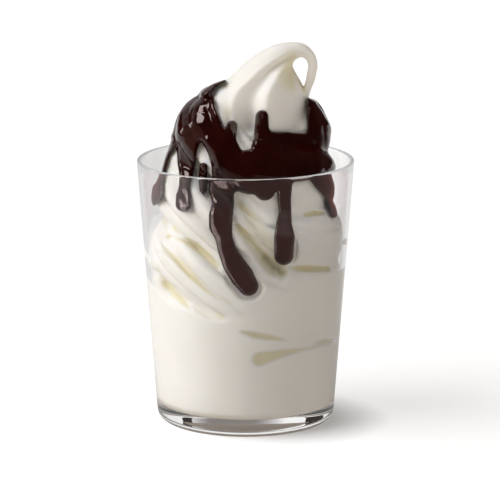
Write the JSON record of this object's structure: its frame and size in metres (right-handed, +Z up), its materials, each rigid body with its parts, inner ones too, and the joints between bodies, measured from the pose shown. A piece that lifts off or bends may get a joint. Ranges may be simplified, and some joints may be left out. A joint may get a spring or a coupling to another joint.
{
  "type": "ice cream sundae",
  "caption": "Soft-serve ice cream coiled to a curled peak in a clear tapered tumbler, under thick dark chocolate sauce that runs down in drips.",
  "frame": {"origin": "centre of the tumbler's base, on the surface it stands on", "axes": "+Z up along the tumbler's axis, -Y the front, +X the right side towards which the peak curls"},
  "size_m": [0.0858, 0.0858, 0.1516],
  "materials": {
    "clear_glass": "clear colourless polished glass",
    "soft_serve": "smooth creamy white frozen dessert with a soft satin sheen",
    "dark_sauce": "thick glossy dark brown sauce"
  },
  "bodies": {
    "root": {"glass": "clear_glass", "ice_cream": "soft_serve", "chocolate_sauce": "dark_sauce"}
  },
  "joints": []
}
